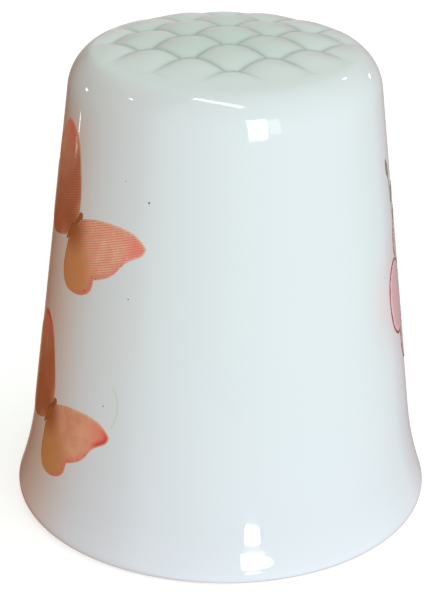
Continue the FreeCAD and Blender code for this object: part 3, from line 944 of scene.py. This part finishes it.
leaf_outlines = [leaf_outline(*leaf) for leaf in LEAVES]
leaves = make_print("spray_leaf_film", leaf_outlines, SPRAY, LEAF_LIFT, NARROW_RIM)
place_piece(leaves, "spray_leaves",
            plain_enamel("leaf_enamel_paint", LEAF_GREENS, 1.4, LEAF_RIM))

stem_outlines = [ribbon(points, STEM_WIDTH) for points in STEMS]
stems = make_print("spray_stem_film", stem_outlines, SPRAY, STEM_LIFT, NARROW_RIM)
place_piece(stems, "spray_stems", plain_enamel("stem_enamel_paint", STEM_BROWNS))

# ---------------------------------------------------------------- stage, lights and camera

scene = bpy.context.scene
scene.view_settings.view_transform = "Standard"

FLOOR_SIZE = 3000.0
FLOOR_DROP = 0.01
FLOOR_GREY = (0.9, 0.9, 0.9, 1)
FLOOR_GLOW = 0.45
PURE_WHITE = (1, 1, 1, 1)


def studio_floor():
    """A pale card under the ware that lights nothing and shows in no reflection."""
    bm = bmesh.new()
    bmesh.ops.create_grid(bm, x_segments=1, y_segments=1, size=FLOOR_SIZE / 2)
    floor = new_object("studio_floor", bm)
    floor.location.z = -FLOOR_DROP * MM
    paint = Paint("floor_card", 0.9, FLOOR_GREY)
    paint.shader.inputs["Emission Color"].default_value = PURE_WHITE
    paint.shader.inputs["Emission Strength"].default_value = FLOOR_GLOW
    floor.data.materials.append(paint.done())
    floor.visible_diffuse = False
    floor.visible_glossy = False
    return floor


floor = studio_floor()

FRONT_LIGHT = (0.98, 1.06, 1.09, 1)
LEFT_DARK = (0.22, 0.075, 0.02, 1)
REAR_RIGHT = (0.50, 0.38, 0.39, 1)
BACK_LIGHT = (0.70, 0.64, 0.64, 1)
TOP_LIGHT = (0.62, 0.74, 0.66, 1)
TOP_LEAN = math.radians(30)

# The azimuths over which each part of the light rises and falls, and how high the top light starts.
FRONT_BAND = ((-66, -38), (125, 80))
LEFT_BAND = ((-180, -155), (-42, -68))
REAR_BAND = ((128, 142), (180, 172))
TOP_FADE = (0.55, 0.95)


def studio_world():
    """Soft light: bright in front, dim behind and above, warm and dark at the left."""
    world = bpy.data.worlds.new("studio")
    scene.world = world
    world.use_nodes = True
    nodes = Nodes(world.node_tree)
    direction = nodes.node("ShaderNodeTexCoord").outputs["Generated"]
    azimuth = nodes.azimuth(direction)
    front = nodes.band(azimuth, *FRONT_BAND)
    left = nodes.band(azimuth, *LEFT_BAND)
    rear = nodes.band(azimuth, *REAR_BAND)
    color = nodes.mix(front, BACK_LIGHT, FRONT_LIGHT)
    color = nodes.mix(left, color, LEFT_DARK)
    color = nodes.mix(rear, color, REAR_RIGHT)
    _, y, z = nodes.split(direction)
    above = nodes.math("ADD", nodes.product(z, math.cos(TOP_LEAN)),
                       nodes.product(y, math.sin(TOP_LEAN)))
    color = nodes.mix(nodes.fade(above, *TOP_FADE), color, TOP_LIGHT)
    seen = nodes.node("ShaderNodeLightPath").outputs["Is Camera Ray"]
    color = nodes.mix(seen, color, PURE_WHITE)
    nodes.feed(world.node_tree.nodes["Background"].inputs["Color"], color)


studio_world()


LAMP_AIM = 20.0
WIDE_SPREAD = 180.0


def lamp(name, direction, distance, size, radiance, aim=LAMP_AIM, tilt=0.0, spread=WIDE_SPREAD):
    """A rectangular lamp seen only in the glaze.

    It stands in a direction (azimuth, elevation) from a height on the axis, faces it, and is
    tilted about the line between them.
    """
    azimuth, elevation = [math.radians(angle) for angle in direction]
    data = bpy.data.lights.new(name, "AREA")
    data.shape = "RECTANGLE"
    data.size = size[0] * MM
    data.size_y = size[1] * MM
    data.energy = radiance * math.pi * size[0] * size[1] * MM * MM
    data.spread = math.radians(spread)
    obj = bpy.data.objects.new(name, data)
    scene.collection.objects.link(obj)
    outwards = Vector((math.cos(elevation) * math.sin(azimuth),
                       -math.cos(elevation) * math.cos(azimuth), math.sin(elevation)))
    obj.location = (Vector((0, 0, aim)) + outwards * distance) * MM
    obj.rotation_mode = "QUATERNION"
    facing = (-outwards).to_track_quat("-Z", "Y")
    obj.rotation_quaternion = facing @ Quaternion((0, 0, 1), math.radians(tilt))
    obj.visible_diffuse = False
    obj.visible_camera = False


FOOT_AIM = 2.6
STRIP_AIM = 21.6
lamp("window_left", (22.6, 12.5), 147.5, (36, 91), 6.5)
lamp("window_right", (34.4, 11.5), 147.5, (22, 80), 2.4)
lamp("sill", (14.8, -3.4), 35.5, (3.9, 1.0), 1.7, FOOT_AIM, spread=20.0)
lamp("ledge", (19.0, 0.6), 35.5, (12.0, 2.2), 1.6, FOOT_AIM, spread=18.0)
lamp("skylight", (-6.2, 70.6), 318, (180, 26), 10.0, tilt=-35.0)
lamp("desk_lamp_a", (-120, 9), 300, (14, 14), 20.0)
lamp("desk_lamp_b", (-85, 38), 300, (13, 13), 24.0)
lamp("side_strip", (-117, -12.8), 60, (1.5, 3.4), 5.0, STRIP_AIM)
lamp("wall_lamp_a", (133, 35), 300, (18, 14), 22.0)
lamp("wall_lamp_b", (140, 9), 300, (16, 14), 22.0)

CAMERA_ELEVATION = math.radians(24.70)
CAMERA_DISTANCE = 102.64
CAMERA_AIM_HEIGHT = 10.798
CAMERA_ASIDE = -0.193
CAMERA_ROLL = math.radians(-0.629)
CAMERA_SENSOR = 36.0
CAMERA_LENS = 116.35
CLIP_NEAR = 5.0
CLIP_FAR = 20000.0


def make_camera():
    """The camera, in front of the ware and above it."""
    data = bpy.data.cameras.new("camera")
    data.sensor_width = CAMERA_SENSOR
    data.lens = CAMERA_LENS
    data.clip_start = CLIP_NEAR * MM
    data.clip_end = CLIP_FAR * MM
    camera = bpy.data.objects.new("camera", data)
    scene.collection.objects.link(camera)
    back = CAMERA_DISTANCE * math.cos(CAMERA_ELEVATION)
    above = CAMERA_DISTANCE * math.sin(CAMERA_ELEVATION)
    camera.location = Vector((CAMERA_ASIDE, -back, CAMERA_AIM_HEIGHT + above)) * MM
    camera.rotation_mode = "QUATERNION"
    look = Vector((0, math.cos(CAMERA_ELEVATION), -math.sin(CAMERA_ELEVATION)))
    camera.rotation_quaternion = look.to_track_quat("-Z", "Y")
    camera.rotation_mode = "XYZ"
    camera.rotation_euler.rotate_axis("Z", -CAMERA_ROLL)
    return camera


scene.camera = make_camera()
